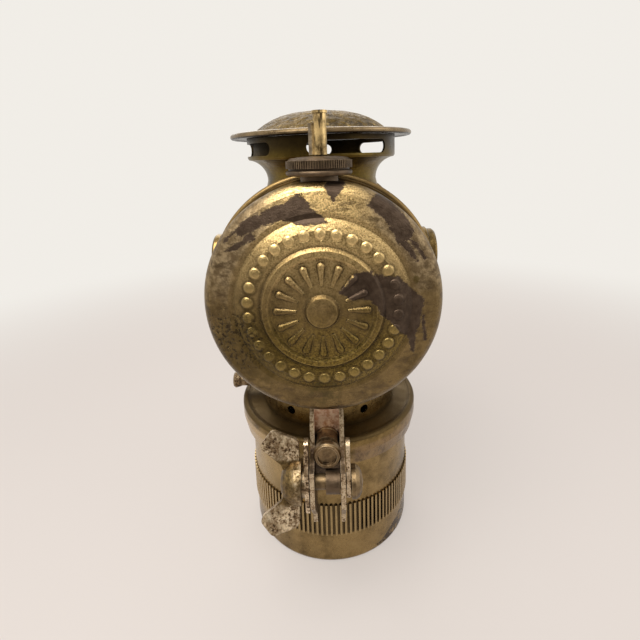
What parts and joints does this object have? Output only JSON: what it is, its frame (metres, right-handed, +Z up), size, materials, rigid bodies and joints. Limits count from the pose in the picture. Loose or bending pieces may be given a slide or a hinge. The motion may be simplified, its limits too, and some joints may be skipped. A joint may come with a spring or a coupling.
{
  "type": "carbide bicycle headlamp",
  "caption": "Pressed-brass acetylene bicycle headlamp: carbide cup, rear water tank with valve, slotted chimney hood, hinged lens door, side jewels and a clamp bracket with a wing nut.",
  "frame": {"origin": "centre of the carbide cup's flat bottom", "axes": "+Z up the lamp's upright axis, +Y towards the lens, +X to the right seen from behind the lamp"},
  "size_m": [0.0918, 0.0987, 0.1728],
  "materials": {
    "cup_brass": "worn satin",
    "cap_brass": "worn satin",
    "house_brass": "worn satin",
    "tank_brass": "worn satin",
    "dark_brass": "tarnished",
    "bright_brass": "satin",
    "nickel_plate": "pitted nickel plate",
    "inner_steel": "dull",
    "gasket_rubber": "matte",
    "filter_felt": "felt",
    "burner_ceramic": "matte",
    "clear_glass": "clear",
    "green_glass": "clear",
    "red_glass": "clear"
  },
  "bodies": {
    "cup": {"carbide_cup": "cup_brass", "carbide_basket": "inner_steel"},
    "gasket": {"cup_gasket": "gasket_rubber"},
    "lamp": {"generator_cap": "cap_brass", "filter_felt": "filter_felt", "filter_retainer": "inner_steel", "water_tube": "bright_brass", "air_gallery": "dark_brass", "screw_boss": "bright_brass", "lamp_house": "house_brass", "house_rear_ring": "house_brass", "tank_front_shell": "dark_brass", "tank_back_shell": "tank_brass", "filler_neck": "bright_brass", "valve_seat": "bright_brass", "chimney": "house_brass", "hood_brim": "house_brass", "hood_dome": "dark_brass", "house_knuckles": "house_brass", "hinge_pin": "inner_steel", "reflector": "nickel_plate", "burner_stem": "bright_brass", "burner_tip": "burner_ceramic", "jewel_bezel_left": "house_brass", "jewel_bezel_right": "house_brass", "jewel_left": "green_glass", "jewel_right": "red_glass", "bracket_channel": "dark_brass", "bracket_standoff": "dark_brass", "bracket_stud": "bright_brass"},
    "screw": {"cleaning_screw": "bright_brass"},
    "washer": {"cap_washer": "gasket_rubber"},
    "filler": {"filler_cap": "dark_brass"},
    "valve": {"valve_spindle": "bright_brass", "valve_lever": "bright_brass"},
    "door": {"door_bezel": "house_brass", "lens": "clear_glass", "lens_ring": "inner_steel", "door_knuckle": "house_brass", "door_catch": "house_brass"},
    "clamp": {"clamp_bolt": "dark_brass", "bolt_spacer": "inner_steel", "cheek_right": "nickel_plate"},
    "plate": {"cheek_left": "nickel_plate", "nut_washer": "nickel_plate"},
    "nut": {"wing_nut": "nickel_plate"}
  },
  "joints": [
    {"name": "lamp_turn", "type": "hinge", "parent": "cup", "child": "gasket", "pos_m": [0, 0, 0.051], "axis": [0, 0, 1], "range_deg": [0, 1080]},
    {"name": "lamp_rise", "type": "slide", "parent": "gasket", "child": "lamp", "axis": [0, 0, 1], "range_m": [0, 0.009]},
    {"name": "cap_rise", "type": "slide", "parent": "lamp", "child": "washer", "axis": [0, 0, 1], "range_m": [0, 0.0045]},
    {"name": "cap_turn", "type": "hinge", "parent": "washer", "child": "filler", "pos_m": [0, -0.0392, 0.152], "axis": [0, 0, 1], "range_deg": [0, 1080]},
    {"name": "valve_turn", "type": "hinge", "parent": "filler", "child": "valve", "pos_m": [0, -0.0392, 0.158], "axis": [0, 0, 1], "range_deg": [0, 300]},
    {"name": "door_swing", "type": "hinge", "parent": "lamp", "child": "door", "pos_m": [-0.0426, 0.0297, 0.1116], "axis": [0, 0, 1], "range_deg": [0, 110]},
    {"name": "screw_turn", "type": "hinge", "parent": "lamp", "child": "screw", "pos_m": [-0.035, 0, 0.0602], "axis": [-1, 0, 0], "range_deg": [0, 360]},
    {"name": "clamp_tilt", "type": "hinge", "parent": "lamp", "child": "clamp", "pos_m": [0, -0.0515, 0.0525], "axis": [1, 0, 0], "range_deg": [-10, 10]},
    {"name": "plate_slide", "type": "slide", "parent": "clamp", "child": "plate", "axis": [-1, 0, 0], "range_m": [0, 0.0025]},
    {"name": "nut_turn", "type": "hinge", "parent": "plate", "child": "nut", "pos_m": [-0.012, -0.0515, 0.0525], "axis": [-1, 0, 0], "range_deg": [0, 720]}
  ],
  "couplings": [
    {"joint": "lamp_rise", "follows": "lamp_turn", "m_per_rad": 0.00047746},
    {"joint": "cap_rise", "follows": "cap_turn", "m_per_rad": 0.00023873},
    {"joint": "plate_slide", "follows": "nut_turn", "m_per_rad": 0.00019894}
  ]
}
